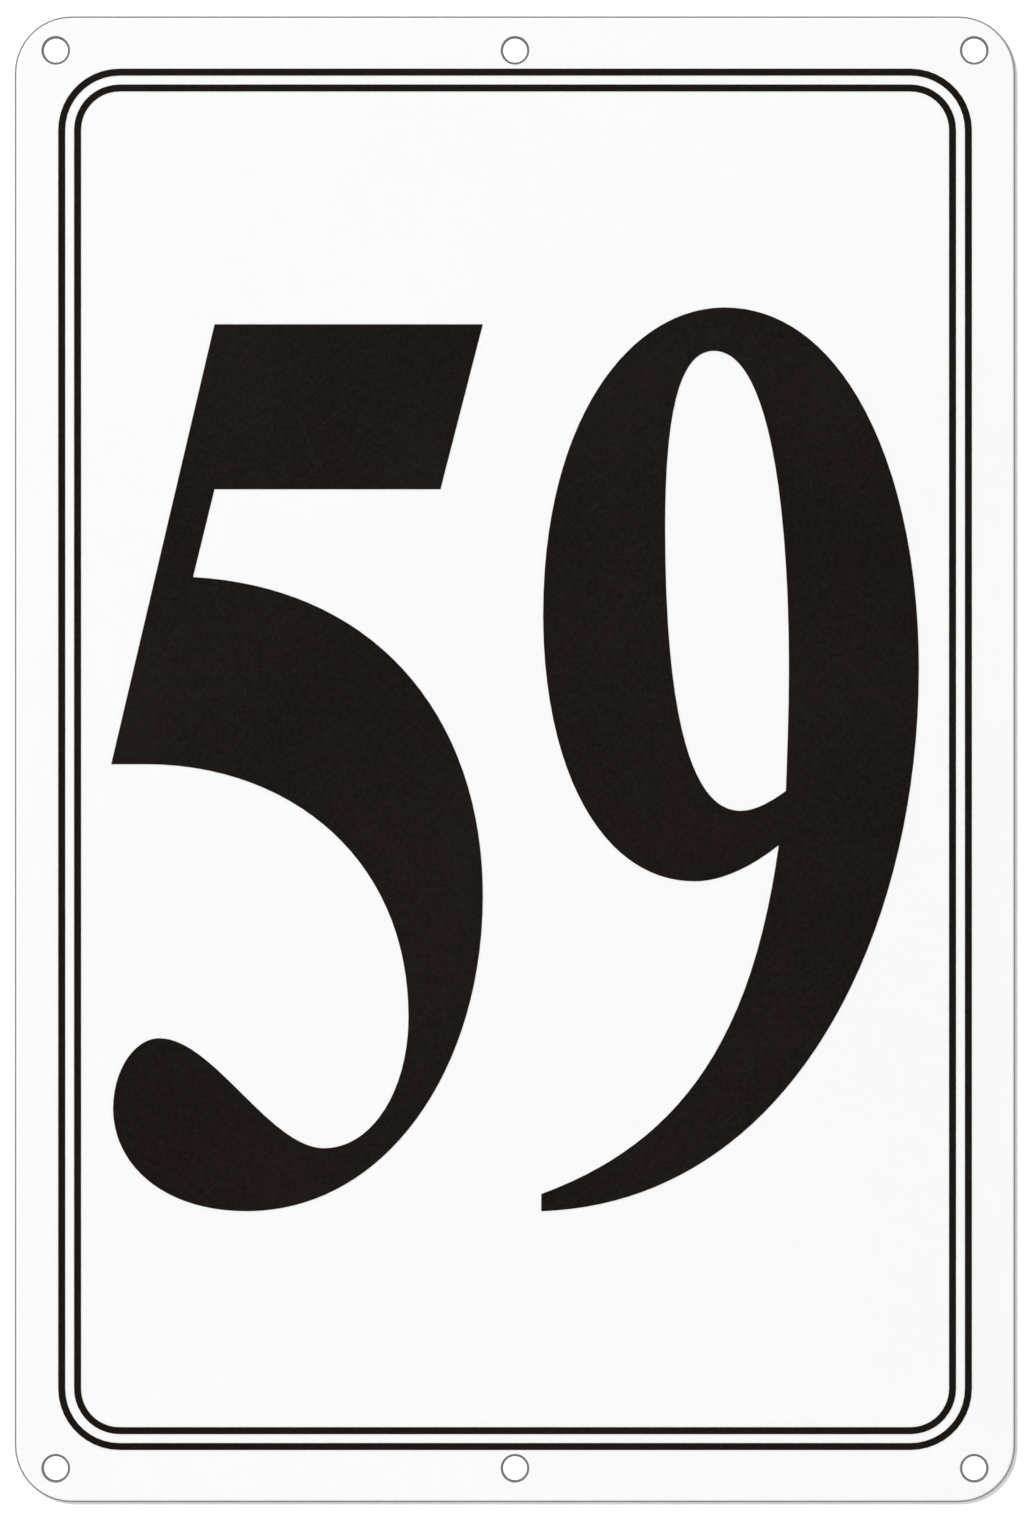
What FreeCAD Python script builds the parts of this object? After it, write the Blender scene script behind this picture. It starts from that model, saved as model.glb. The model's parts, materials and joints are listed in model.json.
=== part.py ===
import FreeCAD
import Part
import Sketcher
import math
import os

# Number sign: a coated metal plate with rounded corners and six screw holes, a double
# border and two figures cut from thin film and stuck to its front. Millimetres.
# +Z is up, the front faces -Y, and the origin is the centre of the flat back face.

doc = FreeCAD.newDocument("number_sign")
sheet = doc.addObject("Spreadsheet::Sheet", "sizes")

DRIVING_SIZES = (
    # The plate
    ("plate_width", 202.0),
    ("plate_height", 300.0),
    ("plate_thickness", 1.5),
    ("corner_radius", 11.5),
    ("edge_round", 0.8),
    # The screw holes, from the plate's edges to the outer holes' centres
    ("hole_diameter", 4.8),
    ("hole_bevel", 0.5),
    ("hole_bevel_angle", 90),
    ("hole_inset_side", 8.3),
    ("hole_inset_end", 6.9),
    ("hole_columns", 3),
    ("hole_rows", 2),
    # The film and the double border
    ("film_thickness", 0.1),
    ("line_width", 1.4),
    ("line_gap", 1.8),
    ("border_inset_side", 8.8),
    ("border_hole_clearance", 0.8),
    ("border_radius", 12.4),
    # The figures, set inside the border and on one base line
    ("figure_margin_side", 6.1),
    ("figure_margin_end", 43.6),
    ("figure_gap", 11.8),
    ("five_share", 0.496),
    ("nine_overshoot", 3.4),
)
for row, (alias, size) in enumerate(DRIVING_SIZES, start=1):
    sheet.set(f"A{row}", alias)
    sheet.set(f"B{row}", str(size))
    sheet.setAlias(f"B{row}", alias)
doc.recompute()

# Lengths that follow from the sheet, as expressions
BORDER_INSET_END = (
    "(sizes.hole_inset_end + sizes.hole_diameter / 2 + sizes.hole_bevel"
    " + sizes.border_hole_clearance)"
)
INNER_LINE_STEP = "(sizes.line_width + sizes.line_gap)"
BORDER_DEPTH = f"({INNER_LINE_STEP} + sizes.line_width)"
FIGURES_WIDTH = (
    f"(sizes.plate_width - 2 * (sizes.border_inset_side + {BORDER_DEPTH}"
    " + sizes.figure_margin_side))"
)
FIVE_WIDTH = f"(({FIGURES_WIDTH} - sizes.figure_gap) * sizes.five_share)"
NINE_WIDTH = f"({FIGURES_WIDTH} - sizes.figure_gap - {FIVE_WIDTH})"
NINE_HEIGHT = (
    f"(sizes.plate_height - 2 * ({BORDER_INSET_END} + {BORDER_DEPTH}"
    " + sizes.figure_margin_end))"
)
FIVE_HEIGHT = f"({NINE_HEIGHT} - sizes.nine_overshoot)"

# Sketcher's numbers for a curve's end points and its centre, and for the origin
START, END, CENTRE = 1, 2, 3
ORIGIN = (-1, 1)


def new_body(label):
    """An empty body, named for the sub-part it becomes."""
    body = doc.addObject("PartDesign::Body", label)
    body.Label = label
    return body


def origin_feature(body, role):
    """One of the body's own planes or axes."""
    for feature in body.Origin.OriginFeatures:
        if feature.Role == role:
            return feature
    raise ValueError(role)


def front_sketch(body, name):
    """A sketch on the upright plane: its x is the sign's X, its y the sign's Z."""
    sketch = body.newObject("Sketcher::SketchObject", name)
    sketch.AttachmentSupport = (origin_feature(body, "XZ_Plane"), [""])
    sketch.MapMode = "FlatFace"
    return sketch


def drive(sketch, name, kind, where, expression):
    """Adds a dimension to the sketch and binds it to the sheet."""
    value = float(sketch.evalExpression(expression))
    index = sketch.addConstraint(Sketcher.Constraint(kind, *where, value))
    sketch.renameConstraint(index, name)
    sketch.setExpression(f"Constraints.{name}", expression)


def place(sketch, name, point, x, z):
    """Fixes a sketch point at x and z from the origin."""
    drive(sketch, f"{name}_x", "DistanceX", ORIGIN + point, x)
    drive(sketch, f"{name}_z", "DistanceY", ORIGIN + point, z)


def rounded_rectangle(sketch, name, width, height, radius):
    """A rounded rectangle centred on the sketch's origin: four sides, each with the corner after it."""
    half_width = float(sketch.evalExpression(width)) / 2
    half_height = float(sketch.evalExpression(height)) / 2
    round_by = float(sketch.evalExpression(radius))
    flat_x = half_width - round_by
    flat_z = half_height - round_by
    # Bottom, right, top and left: where the side begins and ends, and its corner's centre
    stations = (
        ((-flat_x, -half_height), (flat_x, -half_height), (flat_x, -flat_z)),
        ((half_width, -flat_z), (half_width, flat_z), (flat_x, flat_z)),
        ((flat_x, half_height), (-flat_x, half_height), (-flat_x, flat_z)),
        ((-half_width, flat_z), (-half_width, -flat_z), (-flat_x, -flat_z)),
    )
    sides = []
    corners = []
    for turn, points in enumerate(stations):
        begin, end, centre = (FreeCAD.Vector(x, z, 0) for x, z in points)
        circle = Part.Circle(centre, FreeCAD.Vector(0, 0, 1), round_by)
        quarter = Part.ArcOfCircle(circle, (turn - 1) * math.pi / 2, turn * math.pi / 2)
        sides.append(sketch.addGeometry(Part.LineSegment(begin, end)))
        corners.append(sketch.addGeometry(quarter))
    for side, corner, next_side in zip(sides, corners, sides[1:] + sides[:1]):
        sketch.addConstraint(Sketcher.Constraint("Tangent", side, END, corner, START))
        sketch.addConstraint(Sketcher.Constraint("Tangent", corner, END, next_side, START))
    bottom, right, top, left = sides
    for level_side in (bottom, top):
        sketch.addConstraint(Sketcher.Constraint("Horizontal", level_side))
    for upright_side in (right, left):
        sketch.addConstraint(Sketcher.Constraint("Vertical", upright_side))
    lower_right, upper_right, upper_left, lower_left = corners
    for corner in (upper_right, upper_left, lower_left):
        sketch.addConstraint(Sketcher.Constraint("Equal", lower_right, corner))
    opposite = (lower_right, CENTRE, upper_left, CENTRE)
    sketch.addConstraint(Sketcher.Constraint("Symmetric", *opposite, *ORIGIN))
    drive(sketch, f"{name}_width", "DistanceX", (left, START, right, END), width)
    drive(sketch, f"{name}_height", "DistanceY", (bottom, END, top, START), height)
    drive(sketch, f"{name}_radius", "Radius", (lower_right,), radius)


def pad(body, sketch, thickness):
    """Thickens the sketch towards the front."""
    feature = body.newObject("PartDesign::Pad", f"{body.Label}_pad")
    feature.Profile = sketch
    feature.setExpression("Length", thickness)
    doc.recompute()
    return feature


def stick_on(body, x="0", z="0"):
    """Seats a piece of film on the plate's front face."""
    body.setExpression("Placement.Base.x", x)
    body.setExpression("Placement.Base.y", "-sizes.plate_thickness")
    body.setExpression("Placement.Base.z", z)


def sign_plate():
    """The blank: a rounded sheet with a softened front edge and a grid of bevelled screw holes."""
    body = new_body("sign_plate")
    outline = front_sketch(body, "plate_outline")
    rounded_rectangle(outline, "plate", "sizes.plate_width", "sizes.plate_height", "sizes.corner_radius")
    blank = pad(body, outline, "sizes.plate_thickness")

    front_face = min(blank.Shape.Faces, key=lambda face: face.CenterOfMass.y)
    rim = [
        f"Edge{number}"
        for number, edge in enumerate(blank.Shape.Edges, start=1)
        if any(edge.isSame(front_edge) for front_edge in front_face.Edges)
    ]
    softened = body.newObject("PartDesign::Fillet", "softened_edge")
    softened.Base = (blank, rim)
    softened.setExpression("Radius", "sizes.edge_round")
    doc.recompute()

    hole_centre = front_sketch(body, "hole_centre")
    hole_centre.setExpression("AttachmentOffset.Base.z", "sizes.plate_thickness")
    start_radius = float(hole_centre.evalExpression("sizes.hole_diameter / 2"))
    hole_centre.addGeometry(
        Part.Circle(FreeCAD.Vector(0, 0, 0), FreeCAD.Vector(0, 0, 1), start_radius)
    )
    place(
        hole_centre,
        "first_hole",
        (0, CENTRE),
        "sizes.hole_inset_side - sizes.plate_width / 2",
        "sizes.hole_inset_end - sizes.plate_height / 2",
    )
    drive(hole_centre, "first_hole_size", "Diameter", (0,), "sizes.hole_diameter")
    doc.recompute()

    hole = body.newObject("PartDesign::Hole", "screw_hole")
    hole.Profile = hole_centre
    hole.DepthType = "ThroughAll"
    hole.HoleCutType = "Countersink"
    hole.HoleCutCustomValues = True
    hole.setExpression("Diameter", "sizes.hole_diameter")
    hole.setExpression("HoleCutDiameter", "sizes.hole_diameter + 2 * sizes.hole_bevel")
    hole.setExpression("HoleCutCountersinkAngle", "sizes.hole_bevel_angle")
    doc.recompute()

    grid = body.newObject("PartDesign::LinearPattern", "screw_hole_grid")
    grid.Originals = [hole]
    grid.Direction = (origin_feature(body, "X_Axis"), [""])
    grid.setExpression("Length", "sizes.plate_width - 2 * sizes.hole_inset_side")
    grid.setExpression("Occurrences", "sizes.hole_columns")
    grid.Direction2 = (origin_feature(body, "Z_Axis"), [""])
    grid.setExpression("Length2", "sizes.plate_height - 2 * sizes.hole_inset_end")
    grid.setExpression("Occurrences2", "sizes.hole_rows")
    body.Tip = grid
    doc.recompute()
    return body


def border_line(label, step_in):
    """One line of the border: a rounded frame, step_in inside the border's outer edge."""
    body = new_body(label)
    sketch = front_sketch(body, f"{label}_outline")
    for edge, inset in (("outside", step_in), ("inside", f"({step_in} + sizes.line_width)")):
        rounded_rectangle(
            sketch,
            edge,
            f"sizes.plate_width - 2 * (sizes.border_inset_side + {inset})",
            f"sizes.plate_height - 2 * ({BORDER_INSET_END} + {inset})",
            f"sizes.border_radius - {inset}",
        )
    pad(body, sketch, "sizes.film_thickness")
    stick_on(body)
    return body


# The figures' outlines. Each run goes on from the end of the one before it, and the last
# one ends where the first begins. One point is the end of a straight run. Three points are
# a curve: the two that pull it, then its end. A point is (across, up), in hundredths of the
# figure's width and height, from its lower left corner.
FIVE_OUTLINE = (
    ("stem", (27.8, 100)),
    ("flag_top", (100, 100)),
    ("flag_end", (88.6, 81.4)),
    ("flag_underside", (27.8, 81.4)),
    ("neck", (22.0, 71.5)),
    ("shoulder", (72.7, 70.3), (100, 55.1), (100, 35.6)),
    ("belly", (100, 15.8), (73.4, 0), (36.4, 0)),
    ("ball_base", (14.1, 0), (0.5, 5.2), (0.5, 11.6)),
    ("ball_side", (0.5, 15.8), (6.1, 19.5), (13.0, 19.5)),
    ("crook", (27.4, 19.5), (42.7, 7.1), (57.3, 7.1)),
    ("bowl_floor", (70.0, 7.1), (80.0, 13.5), (80.0, 21.9)),
    ("bowl_roof", (80.0, 40.0), (47.4, 50.4), (9.4, 50.4)),
    ("foot", (0, 50.4)),
)
NINE_OUTLINE = (
    ("tail_tip", (0, 1.9)),
    ("tail_inside", (38.6, 7.8), (56.1, 20.0), (62.9, 40.5)),
    ("chin", (55.1, 37.9), (47.2, 36.5), (40.6, 36.5)),
    ("cheek", (16.1, 36.5), (0.5, 48.8), (0.5, 66.0)),
    ("brow", (0.5, 87.7), (23.7, 100), (48.6, 100)),
    ("crown", (80.4, 100), (100, 81.9), (100, 60.1)),
    ("tail_outside", (100, 30.1), (65.3, 0.9), (0, 0)),
)
NINE_COUNTER = (
    ("eye_left_top", (35.9, 95.2), (32.8, 87.2), (32.8, 75.7)),
    ("eye_left_foot", (32.8, 57.0), (38.4, 44.3), (52.8, 44.3)),
    ("eye_floor", (56.5, 44.3), (60.5, 45.2), (64.8, 46.5)),
    ("eye_right_foot", (65.2, 51.0), (65.6, 55.4), (65.6, 60.0)),
    ("eye_right_top", (65.6, 77.3), (60.7, 95.2), (45.7, 95.2)),
)


def draw_outline(sketch, runs, width, height):
    """Draws one closed outline and ties each of its points to the figure's width and height."""
    def tied(point):
        return f"{point[0]} / 100 * {width}", f"{point[1]} / 100 * {height}"

    def drawn(point):
        x, z = (float(sketch.evalExpression(length)) for length in tied(point))
        return FreeCAD.Vector(x, z, 0)

    run_geometry = []
    begin = runs[-1][-1]
    for name, *points in runs:
        path = [drawn(point) for point in (begin, *points)]
        if len(path) == 2:
            geometry = sketch.addGeometry(Part.LineSegment(*path))
        else:
            curve = Part.BezierCurve()
            curve.setPoles(path)
            geometry = sketch.addGeometry(curve.toBSpline())
            sketch.exposeInternalGeometry(geometry)
            for pull, point in enumerate(points[:-1], start=1):
                place(sketch, f"{name}_pull{pull}", (geometry + 1 + pull, CENTRE), *tied(point))
        place(sketch, f"{name}_end", (geometry, END), *tied(points[-1]))
        run_geometry.append(geometry)
        begin = points[-1]
    for last, following in zip(run_geometry, run_geometry[1:] + run_geometry[:1]):
        sketch.addConstraint(Sketcher.Constraint("Coincident", last, END, following, START))


def figure(label, outlines, width, height, left):
    """A figure cut from film, its lower left corner at left on the base line."""
    body = new_body(label)
    sketch = front_sketch(body, f"{label}_outline")
    for runs in outlines:
        draw_outline(sketch, runs, width, height)
    pad(body, sketch, "sizes.film_thickness")
    stick_on(body, left, f"-{NINE_HEIGHT} / 2")
    return body


subparts = [
    sign_plate(),
    border_line("outer_border", "0"),
    border_line("inner_border", INNER_LINE_STEP),
    figure("figure_five", [FIVE_OUTLINE], FIVE_WIDTH, FIVE_HEIGHT, f"-{FIGURES_WIDTH} / 2"),
    figure(
        "figure_nine",
        [NINE_OUTLINE, NINE_COUNTER],
        NINE_WIDTH,
        NINE_HEIGHT,
        f"{FIGURES_WIDTH} / 2 - {NINE_WIDTH}",
    ),
]
doc.recompute()

for item in doc.Objects:
    if {"Invalid", "Error"} & set(item.State):
        raise RuntimeError(f"{item.Label} did not build: {item.State}")
for body in subparts:
    if body.Shape.isNull() or not body.Shape.isValid():
        raise RuntimeError(f"{body.Label} has no valid shape")

os.makedirs("parts", exist_ok=True)
for body in subparts:
    body.Shape.exportStep(f"parts/{body.Label}.step")
    print(f"{body.Label}: {body.Shape.Volume:.1f} mm3, {len(body.Shape.Solids)} solid")
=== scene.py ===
import json
import math

import bpy
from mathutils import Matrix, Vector


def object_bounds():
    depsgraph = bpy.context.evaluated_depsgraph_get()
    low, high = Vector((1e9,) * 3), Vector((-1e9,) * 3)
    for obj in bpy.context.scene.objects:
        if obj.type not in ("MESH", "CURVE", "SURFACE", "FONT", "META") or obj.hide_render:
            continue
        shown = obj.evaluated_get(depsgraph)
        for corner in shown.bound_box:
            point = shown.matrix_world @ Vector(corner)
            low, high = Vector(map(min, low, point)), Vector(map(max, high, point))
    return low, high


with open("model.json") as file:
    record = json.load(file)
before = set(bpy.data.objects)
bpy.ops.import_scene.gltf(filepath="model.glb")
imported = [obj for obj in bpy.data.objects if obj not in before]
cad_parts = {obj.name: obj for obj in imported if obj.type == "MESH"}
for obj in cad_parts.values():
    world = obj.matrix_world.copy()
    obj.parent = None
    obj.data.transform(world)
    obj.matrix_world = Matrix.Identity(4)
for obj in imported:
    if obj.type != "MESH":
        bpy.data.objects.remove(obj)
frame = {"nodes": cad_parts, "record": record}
cad_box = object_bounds()


# The sign plate is a blank punched from 1.5 mm aluminium sheet that was coated satin white on one side.
# The punch rolled the coat over the front edge. The cut edge and the bevelled screw holes are bare metal,
# painted dark grey as painted shade.
# The back, which lies against the wall, is bare sheet with the grain of the rolling mill.

def put(tree, kind, inputs=None, **properties):
    """Adds a node. Each input, named or numbered, is given a socket to be wired to or a value to keep."""
    made = tree.nodes.new(kind)
    for name, value in properties.items():
        setattr(made, name, value)
    for name, value in (inputs or {}).items():
        if isinstance(value, bpy.types.NodeSocket):
            tree.links.new(value, made.inputs[name])
        else:
            made.inputs[name].default_value = value
    return made


def calc(tree, operation, *terms):
    """A Math node of one operation, as its output."""
    return put(tree, "ShaderNodeMath", dict(enumerate(terms)), operation=operation).outputs[0]


def ramp(tree, value, low, high, to_low=0.0, to_high=1.0):
    """A soft step: to_low where value is under low, to_high where it is over high."""
    limits = {"Value": value, "From Min": low, "From Max": high, "To Min": to_low, "To Max": to_high}
    return put(tree, "ShaderNodeMapRange", limits, interpolation_type="SMOOTHSTEP").outputs[0]


def between(tree, share, first, second):
    """A number that goes from first to second as share goes from 0 to 1."""
    return put(tree, "ShaderNodeMix", {0: share, 2: first, 3: second}, data_type="FLOAT").outputs[0]


def tint(tree, share, first, second):
    """A colour that goes from first to second as share goes from 0 to 1."""
    return put(tree, "ShaderNodeMix", {0: share, 6: first, 7: second}, data_type="RGBA").outputs[2]


def lumps(tree, position, size, detail=2.0):
    """Noise whose lumps have the given length in metres along X, Y and Z."""
    stretch = [1.0 / length for length in size]
    scaled = put(tree, "ShaderNodeVectorMath", {0: position, 1: stretch}, operation="MULTIPLY").outputs[0]
    return put(tree, "ShaderNodeTexNoise", {"Vector": scaled, "Scale": 1.0, "Detail": detail}).outputs[0]


def effect(name, inputs, outputs):
    """A node group with named sockets, as its tree, what goes into it and what comes out of it."""
    tree = bpy.data.node_groups.new(name, "ShaderNodeTree")
    for socket, kind in inputs.items():
        tree.interface.new_socket(socket, in_out="INPUT", socket_type=kind)
    for socket in outputs:
        tree.interface.new_socket(socket, in_out="OUTPUT", socket_type="NodeSocketFloat")
    return tree, tree.nodes.new("NodeGroupInput").outputs, tree.nodes.new("NodeGroupOutput").inputs


def surface_skin():
    """The skin of a coat or a film: small waves from how it set, and slow patches a few centimetres wide."""
    sockets = {
        "Position": "NodeSocketVector",
        "Wave Length": "NodeSocketFloat",
        "Patch Length": "NodeSocketFloat",
    }
    tree, given, result = effect("surface_skin", sockets, ["Waves", "Patches"])
    for length, detail, output in (("Wave Length", 1.5, "Waves"), ("Patch Length", 0.5, "Patches")):
        scale = calc(tree, "DIVIDE", 1.0, given[length])
        noise = {"Vector": given["Position"], "Scale": scale, "Detail": detail}
        tree.links.new(put(tree, "ShaderNodeTexNoise", noise).outputs[0], result[output])
    return tree


def handling_marks():
    """Hairlines from handling and wiping: long thin lumps at two slants, of which only the highest show."""
    mark_size = (0.0004, 0.01, 0.03)
    slants = (0.35, -0.9)
    softness = 0.08
    sockets = {"Position": "NodeSocketVector", "Rarity": "NodeSocketFloat"}
    tree, given, result = effect("handling_marks", sockets, ["Marks"])
    strokes = []
    for slant in slants:
        turn = {"Vector": given["Position"], "Angle": slant}
        turned = put(tree, "ShaderNodeVectorRotate", turn, rotation_type="Y_AXIS").outputs[0]
        above = calc(tree, "SUBTRACT", lumps(tree, turned, mark_size), given["Rarity"])
        strokes.append(ramp(tree, above, 0.0, softness))
    tree.links.new(calc(tree, "MAXIMUM", *strokes), result["Marks"])
    return tree


skin_effect = surface_skin()
marks_effect = handling_marks()


def skin_of(tree, position, wave_length, patch_length):
    """The surface_skin effect at a finish's own sizes, as its waves and its patches."""
    sizes = {"Position": position, "Wave Length": wave_length, "Patch Length": patch_length}
    skin = put(tree, "ShaderNodeGroup", sizes, node_tree=skin_effect).outputs
    return skin["Waves"], skin["Patches"]


def marks_of(tree, position, rarity, strength):
    """The handling_marks effect, as a mask that goes up to strength."""
    given = {"Position": position, "Rarity": rarity}
    marks = put(tree, "ShaderNodeGroup", given, node_tree=marks_effect).outputs["Marks"]
    return calc(tree, "MULTIPLY", marks, strength)


def white_coat(tree, position):
    """The coat, as colour, roughness and height in metres: orange peel, and faint patches of tone."""
    peel_length = 0.0015
    peel_height = 0.000008
    patch_length = 0.045
    dull_white = (0.922, 0.922, 0.917, 1.0)
    clear_white = (0.928, 0.928, 0.924, 1.0)
    smooth, rough = 0.20, 0.27
    peel, patches = skin_of(tree, position, peel_length, patch_length)
    colour = tint(tree, patches, dull_white, clear_white)
    roughness = between(tree, patches, smooth, rough)
    return colour, roughness, calc(tree, "MULTIPLY", peel, peel_height)


def cut_edge(tree, position, ragged):
    """The bare edge, outside and in the holes: burnished by the punch, and torn towards the back. Its greys
    are painted shade, far darker than bare aluminium and darkest towards the back.
    """
    # Both greys are painted shade: they draw the plate's dark outline and the dark hole rings.
    shaded_burnished_metal = (0.21, 0.212, 0.215, 1.0)
    shaded_torn_metal = (0.14, 0.142, 0.145, 1.0)
    scratch_size = (0.00015, 0.004, 0.00015)
    scratch_height = 0.000006
    shaded_torn_from, shaded_torn_to = -0.0003, -0.0001
    shaded_torn_unevenness = 0.0004
    burnished_roughness, torn_roughness = 0.50, 0.65
    scratches = lumps(tree, position, scratch_size)
    depth = put(tree, "ShaderNodeSeparateXYZ", {0: position}).outputs["Y"]
    uneven_depth = calc(tree, "ADD", depth, calc(tree, "MULTIPLY", ragged, shaded_torn_unevenness))
    # Towards the back the edge is painted darker still, as painted shade deep in the holes and on the cut
    # side.
    torn_and_shaded = ramp(tree, uneven_depth, shaded_torn_from, shaded_torn_to)
    colour = tint(tree, calc(tree, "MULTIPLY", torn_and_shaded, scratches), shaded_burnished_metal, shaded_torn_metal)
    roughness = between(tree, torn_and_shaded, burnished_roughness, torn_roughness)
    return colour, roughness, calc(tree, "MULTIPLY", scratches, scratch_height)


def mill_back(tree, position, from_hole):
    """The bare back: fine rolling lines, faint streaks and clouds, hairlines, and sanded hole rims."""
    dark_sheet = (0.60, 0.605, 0.612, 1.0)
    bright_sheet = (0.69, 0.694, 0.70, 1.0)
    scratched = (0.80, 0.80, 0.80, 1.0)
    sanded = (0.82, 0.82, 0.82, 1.0)
    line_size = (0.0003, 0.01, 0.06)
    line_height = 0.000004
    streak_size = (0.012, 0.01, 0.5)
    cloud_size = (0.045, 0.045, 0.045)
    cloud_share = 0.5
    slow_share = 0.45
    dark_to, bright_from = 0.3, 0.7
    sanded_from, sanded_to = 0.0002, 0.0005
    rough, smooth = 0.44, 0.34
    lines = lumps(tree, position, line_size, detail=3.0)
    clouds = lumps(tree, position, cloud_size, detail=0.5)
    slow_tone = between(tree, cloud_share, lumps(tree, position, streak_size), clouds)
    grain = ramp(tree, between(tree, slow_share, lines, slow_tone), dark_to, bright_from)
    sheet = tint(tree, grain, dark_sheet, bright_sheet)
    marked = tint(tree, marks_of(tree, position, rarity=0.66, strength=0.4), sheet, scratched)
    colour = tint(tree, ramp(tree, from_hole, sanded_from, sanded_to, 1.0, 0.0), marked, sanded)
    roughness = between(tree, grain, rough, smooth)
    return colour, roughness, calc(tree, "MULTIPLY", lines, line_height)


def from_hole_wall(tree, position):
    """How far a point is from the wall of the nearest screw hole, in metres along the sheet."""
    holes = next(mount["dims"] for mount in frame["record"]["mounts"] if mount["name"] == "corner_holes")
    column = holes["spacing_x_mm"] / 1000 / 2
    row = holes["spacing_y_mm"] / 1000 / 2
    place = put(tree, "ShaderNodeSeparateXYZ", {0: position}).outputs
    # The holes stand in three columns, one in the middle and one at each side, and in two rows.
    off_half = calc(tree, "SUBTRACT", calc(tree, "ABSOLUTE", place["X"]), column / 2)
    across = calc(tree, "SUBTRACT", column / 2, calc(tree, "ABSOLUTE", off_half))
    along = calc(tree, "SUBTRACT", calc(tree, "ABSOLUTE", place["Z"]), row)
    squares = calc(tree, "ADD", calc(tree, "POWER", across, 2.0), calc(tree, "POWER", along, 2.0))
    return calc(tree, "SUBTRACT", calc(tree, "SQRT", squares), holes["hole_r_mm"] / 1000)


def going_over(tree, share, first, second):
    """A finish that goes from first to second as share goes from 0 to 1."""
    colour = tint(tree, share, first[0], second[0])
    roughness = between(tree, share, first[1], second[1])
    return colour, roughness, between(tree, share, first[2], second[2])


def new_material(name):
    """A material with its Principled shader, and its node tree."""
    material = bpy.data.materials.new(name)
    material.use_nodes = True
    return material, material.node_tree


def wire_finish(tree, colour, roughness, height):
    """Wires a finish into the tree's Principled shader and gives that shader's inputs."""
    shader = tree.nodes["Principled BSDF"].inputs
    relief = put(tree, "ShaderNodeBump", {"Height": height, "Strength": 1.0, "Distance": 1.0}).outputs[0]
    tree.links.new(colour, shader["Base Color"])
    tree.links.new(roughness, shader["Roughness"])
    tree.links.new(relief, shader["Normal"])
    return shader


def coated_sheet():
    """The plate's material. The coat ends unevenly, where the rolled edge slants by about 36 degrees, and the
    dark bare metal beyond is painted shade that draws the plate's outline.
    """
    # How far the surface faces backwards: -1 on the front, 0 on the cut edge and 1 on the back.
    coated_to, bare_from = -0.83, -0.77
    edge_to, back_from = 0.6, 0.9
    line_unevenness = 0.04
    ragged_size = (0.0012, 0.0012, 0.0012)
    material, tree = new_material("coated_sheet")
    place = put(tree, "ShaderNodeTexCoord").outputs
    position = place["Object"]
    facing_back = put(tree, "ShaderNodeSeparateXYZ", {0: place["Normal"]}).outputs["Y"]
    from_hole = from_hole_wall(tree, position)
    ragged = lumps(tree, position, ragged_size)
    slant = calc(tree, "ADD", facing_back, calc(tree, "MULTIPLY", ragged, line_unevenness))
    # Where the coat ends, the bare metal's dark grey is painted shade round the plate's edge and in the
    # holes.
    bare = ramp(tree, slant, coated_to, bare_from)
    back = ramp(tree, facing_back, edge_to, back_from)
    edge = cut_edge(tree, position, ragged)
    metal = going_over(tree, back, edge, mill_back(tree, position, from_hole))
    shader = wire_finish(tree, *going_over(tree, bare, white_coat(tree, position), metal))
    tree.links.new(bare, shader["Metallic"])
    return material


frame["nodes"]["sign_plate"].material_slots[0].material = coated_sheet()


# The two border lines and the two figures are cut from one roll of black sign film, 0.1 mm thick.
# They are laid on the white coat and rubbed down, so the film follows the sheet and keeps its satin skin.

def sign_film():
    """The film's material: a fine rolled grain, slow patches of tone and gloss, and a few faint hairlines."""
    grain_length = 0.0006
    grain_height = 0.000003
    patch_length = 0.03
    deep_black = (0.0088, 0.0063, 0.0047, 1.0)
    warm_black = (0.0134, 0.0100, 0.0082, 1.0)
    rubbed_black = (0.02, 0.018, 0.016, 1.0)
    grain_share = 0.75
    deep_to, warm_from = 0.35, 0.65
    smooth, rough = 0.22, 0.27
    satin_gloss = 0.12
    material, tree = new_material("sign_film")
    position = put(tree, "ShaderNodeTexCoord").outputs["Object"]
    grain, patches = skin_of(tree, position, grain_length, patch_length)
    tone = ramp(tree, between(tree, grain_share, patches, grain), deep_to, warm_from)
    black = tint(tree, tone, deep_black, warm_black)
    colour = tint(tree, marks_of(tree, position, rarity=0.68, strength=0.5), black, rubbed_black)
    roughness = between(tree, patches, smooth, rough)
    shader = wire_finish(tree, colour, roughness, calc(tree, "MULTIPLY", grain, grain_height))
    shader["Specular IOR Level"].default_value = satin_gloss
    return material


film = sign_film()
for piece in ("outer_border", "inner_border", "figure_five", "figure_nine"):
    frame["nodes"][piece].material_slots[0].material = film


# The studio is a matt wall just behind the sign and a matt floor below it, which fade into the white room.
# Each is seen from its lit side only, and the wall holds no light back, so the sign's back is lit and seen.
# Through the screw holes the wall is seen as plain white, as light painted over the sign's shadow there.

def seen_directly(tree):
    """1 for what the camera sees, directly or mirrored, and 0 for light on its way to a matt surface."""
    rays = put(tree, "ShaderNodeLightPath").outputs
    mirrored = calc(tree, "MAXIMUM", rays["Is Glossy Ray"], rays["Is Transmission Ray"])
    return calc(tree, "MAXIMUM", rays["Is Camera Ray"], mirrored)


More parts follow.
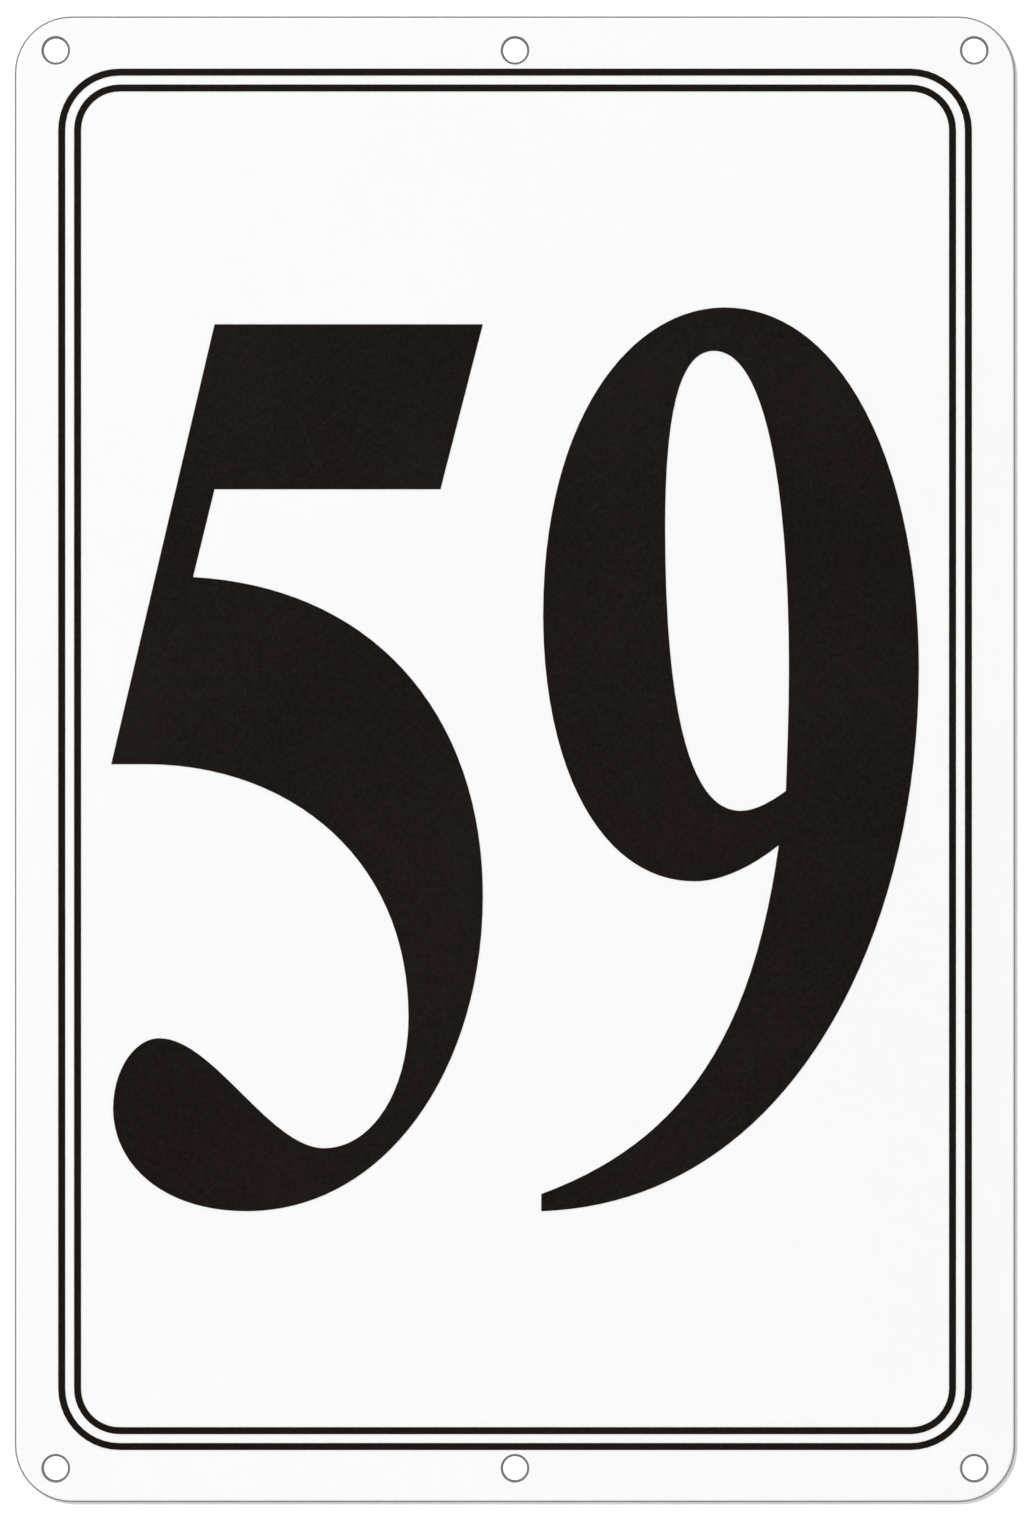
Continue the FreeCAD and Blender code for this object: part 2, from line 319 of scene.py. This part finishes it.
def studio_board(name, corners, paint, near_glow, far_glow, painted_hole_light=0.0):
    """A flat board in one grey. It looks brighter than lit: by near_glow at the sign, by far_glow far off,
    and by painted_hole_light where a screw hole looks out on it, which is light painted over the sign's
    shadow."""
    near, far = 0.5, 2.0
    hole_rim = 0.0002
    material, tree = new_material(name)
    shader = tree.nodes["Principled BSDF"]
    shader.inputs["Base Color"].default_value = (paint, paint, paint, 1.0)
    shader.inputs["Roughness"].default_value = 1.0
    shader.inputs["Specular IOR Level"].default_value = 0.0
    shader.inputs["Emission Color"].default_value = (1.0, 1.0, 1.0, 1.0)
    position = put(tree, "ShaderNodeTexCoord").outputs["Object"]
    distance = put(tree, "ShaderNodeVectorMath", {0: position}, operation="LENGTH").outputs["Value"]
    open_glow = ramp(tree, distance, near, far, near_glow, far_glow)
    # Light is painted on the wall where a screw hole looks out on it, over the shadow that the sign casts
    # there.
    painted_light_in_holes = ramp(tree, from_hole_wall(tree, position), 0.0, hole_rim, painted_hole_light, 0.0)
    glow = calc(tree, "MAXIMUM", open_glow, painted_light_in_holes)
    tree.links.new(calc(tree, "MULTIPLY", seen_directly(tree), glow), shader.inputs["Emission Strength"])
    behind = put(tree, "ShaderNodeNewGeometry").outputs["Backfacing"]
    clear = put(tree, "ShaderNodeBsdfTransparent").outputs[0]
    one_sided = put(tree, "ShaderNodeMixShader", {0: behind, 1: shader.outputs[0], 2: clear}).outputs[0]
    tree.links.new(one_sided, tree.nodes["Material Output"].inputs["Surface"])

    mesh = bpy.data.meshes.new(name)
    mesh.from_pydata(corners, [], [range(len(corners))])
    mesh.materials.append(material)
    board = bpy.data.objects.new(name, mesh)
    bpy.context.scene.collection.objects.link(board)
    return board


low, high = cad_box
wall_gap = 0.0001
wall_half = 1.6
floor_drop = 0.03
floor_half = 20.0
wall_y = high.y + wall_gap
floor_z = low.z - floor_drop
wall_corners = [
    (-wall_half, wall_y, floor_z),
    (wall_half, wall_y, floor_z),
    (wall_half, wall_y, wall_half),
    (-wall_half, wall_y, wall_half),
]
floor_corners = [
    (-floor_half, -floor_half, floor_z),
    (floor_half, -floor_half, floor_z),
    (floor_half, floor_half, floor_z),
    (-floor_half, floor_half, floor_z),
]
wall = studio_board("studio_wall", wall_corners, paint=0.80, near_glow=0.30, far_glow=0.50, painted_hole_light=0.85)
floor = studio_board("studio_floor", floor_corners, paint=0.65, near_glow=0.52, far_glow=0.80)
wall.visible_shadow = False
wall.visible_diffuse = False
floor.visible_glossy = False


# The light is a soft lamp at the front upper left, a near one behind for the bare back, and a pale room.
# A dark card round the lens is what the black film mirrors, so that it stays black when seen square on.

def soft_lamp(name, direction, distance, size, level):
    """A square lamp aimed at the sign. At level 1 it alone makes a colour facing it look as it is written."""
    lamp_data = bpy.data.lights.new(name, "AREA")
    lamp_data.size = size
    lamp_data.energy = level * math.pi ** 2 * distance ** 2
    lamp = bpy.data.objects.new(name, lamp_data)
    lamp.location = Vector(direction).normalized() * distance
    lamp.rotation_euler = Vector(direction).to_track_quat("Z", "Y").to_euler()
    lamp.visible_camera = False
    bpy.context.scene.collection.objects.link(lamp)
    return lamp_data


soft_lamp("key_lamp", (-0.5, -1.0, 0.5), distance=9.0, size=1.2, level=0.75)
back_lamp = soft_lamp("back_lamp", (0.5, 1.0, 0.5), distance=1.2, size=0.5, level=0.40)
back_lamp.use_shadow = False

card_y = -2.9
card_half = 1.25
card_corners = [
    (-card_half, card_y, -card_half),
    (-card_half, card_y, card_half),
    (card_half, card_y, card_half),
    (card_half, card_y, -card_half),
]
card = studio_board("lens_card", card_corners, paint=0.02, near_glow=0.0, far_glow=0.0)
card.visible_camera = False
card.visible_shadow = False
card.visible_diffuse = False

room_level = 0.37
room = bpy.data.worlds.new("studio_room")
room.use_nodes = True
room_light = room.node_tree.nodes["Background"]
room_light.inputs["Color"].default_value = (1.0, 1.0, 1.0, 1.0)
brightness = between(room.node_tree, seen_directly(room.node_tree), room_level, 1.0)
room.node_tree.links.new(brightness, room_light.inputs["Strength"])
bpy.context.scene.world = room


# The camera looks straight at the front from far off, as the photograph does.
# The frame is 1515 pixels high. The plate takes 1486.4 of them, and its centre is 1.8 below the frame's.

frame_pixels = 1515
plate_pixels = 1486.4
centre_drop_pixels = 1.8
camera_distance = 2.4
pixel = (high.z - low.z) / plate_pixels
camera_data = bpy.data.cameras.new("camera")
camera_data.sensor_width = 36.0
camera_data.lens = camera_data.sensor_width * camera_distance / (frame_pixels * pixel)
camera = bpy.data.objects.new("camera", camera_data)
camera.location = (0.0, low.y - camera_distance, (low.z + high.z) / 2 + centre_drop_pixels * pixel)
camera.rotation_euler = Vector((0.0, -1.0, 0.0)).to_track_quat("Z", "Y").to_euler()
bpy.context.scene.collection.objects.link(camera)
bpy.context.scene.camera = camera
bpy.context.scene.view_settings.view_transform = "Standard"
